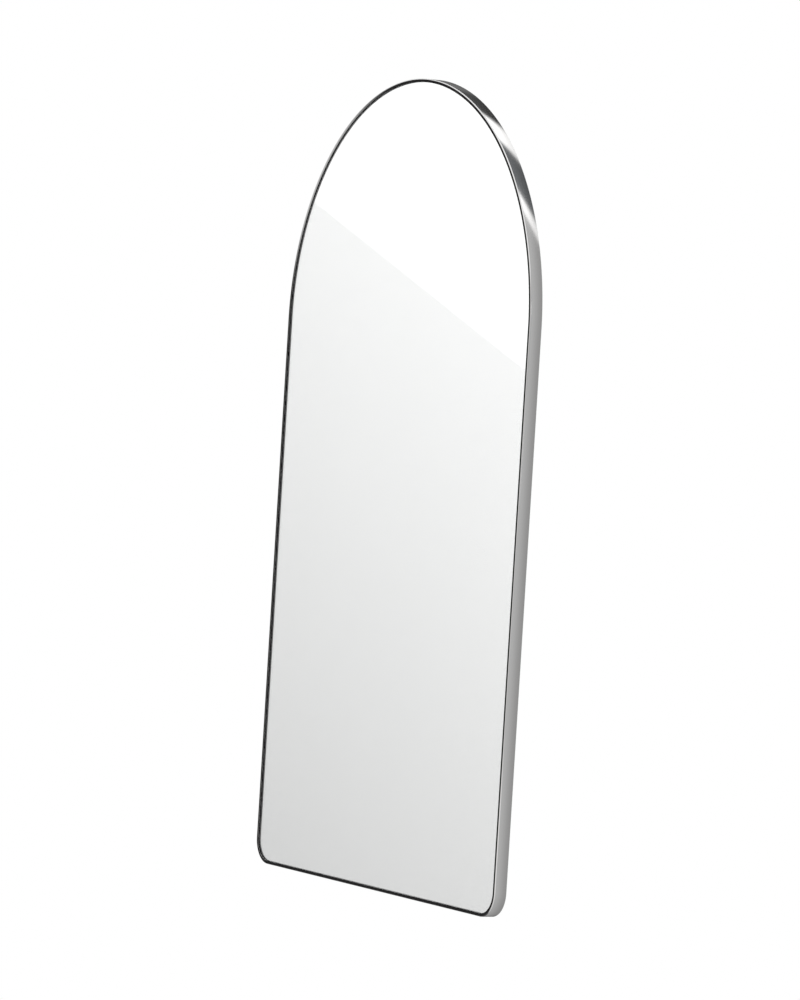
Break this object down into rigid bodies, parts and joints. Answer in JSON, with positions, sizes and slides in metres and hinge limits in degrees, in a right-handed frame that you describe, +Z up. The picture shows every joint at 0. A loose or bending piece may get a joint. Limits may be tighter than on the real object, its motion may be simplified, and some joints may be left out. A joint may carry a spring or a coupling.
{
  "type": "arched wall mirror",
  "caption": "Tall wall mirror with a round arched top and rounded lower corners in a narrow, deep polished steel frame, hung on D-rings.",
  "frame": {"origin": "on the wall, midway between the two wall hooks, at the height where the raised D-rings bear on them, 344 mm under the top of the mirror", "axes": "+X to the right as seen from the front, +Y back towards the wall, +Z up"},
  "size_m": [0.9144, 0.026, 1.5238],
  "materials": {
    "polished_steel": "mirror-polished stainless steel",
    "plain_steel": "mill finish stainless steel",
    "zinc_plate": "bright zinc-plated steel",
    "zinc_screw": "zinc-plated steel screw",
    "mirror_glass": "float glass, silvered on its back",
    "safety_film": "woven-backed vinyl film",
    "white_foam": "closed-cell foam sheet",
    "black_foam": "black foam tape",
    "black_rubber": "matt black rubber",
    "fibreboard": "medium-density fibreboard, sealed"
  },
  "bodies": {
    "mirror": {"backing_board": "fibreboard", "bumper_screws": "zinc_screw", "cushion_foam": "white_foam", "frame_band": "polished_steel", "front_gasket": "black_foam", "left_hanger_plate": "zinc_plate", "left_hanger_screws": "zinc_screw", "left_setting_block": "black_rubber", "lower_left_bumper": "black_rubber", "lower_right_bumper": "black_rubber", "mirror_glass": "mirror_glass", "right_hanger_plate": "zinc_plate", "right_hanger_screws": "zinc_screw", "right_setting_block": "black_rubber", "safety_film": "safety_film", "spacer_arch_left": "black_rubber", "spacer_arch_right": "black_rubber", "spacer_arch_top": "black_rubber", "spacer_left_high": "black_rubber", "spacer_left_low": "black_rubber", "spacer_right_high": "black_rubber", "spacer_right_low": "black_rubber", "splice_plate": "plain_steel", "splice_rivets": "plain_steel", "tab_arch_left": "plain_steel", "tab_arch_right": "plain_steel", "tab_arch_top": "plain_steel", "tab_bottom_left": "plain_steel", "tab_bottom_right": "plain_steel", "tab_left_high": "plain_steel", "tab_left_low": "plain_steel", "tab_left_middle": "plain_steel", "tab_right_high": "plain_steel", "tab_right_low": "plain_steel", "tab_right_middle": "plain_steel", "tab_screws": "zinc_screw", "upper_left_bumper": "black_rubber", "upper_right_bumper": "black_rubber"},
    "left_ring": {"left_d_ring": "zinc_plate"},
    "right_ring": {"right_d_ring": "zinc_plate"}
  },
  "joints": [
    {"name": "left_ring_swing", "type": "hinge", "parent": "mirror", "child": "left_ring", "pos_m": [-0.2032, -0.0065, -0.023], "axis": [1, 0, 0], "range_deg": [0, 180]},
    {"name": "right_ring_swing", "type": "hinge", "parent": "mirror", "child": "right_ring", "pos_m": [0.2032, -0.0065, -0.023], "axis": [1, 0, 0], "range_deg": [0, 180]}
  ]
}
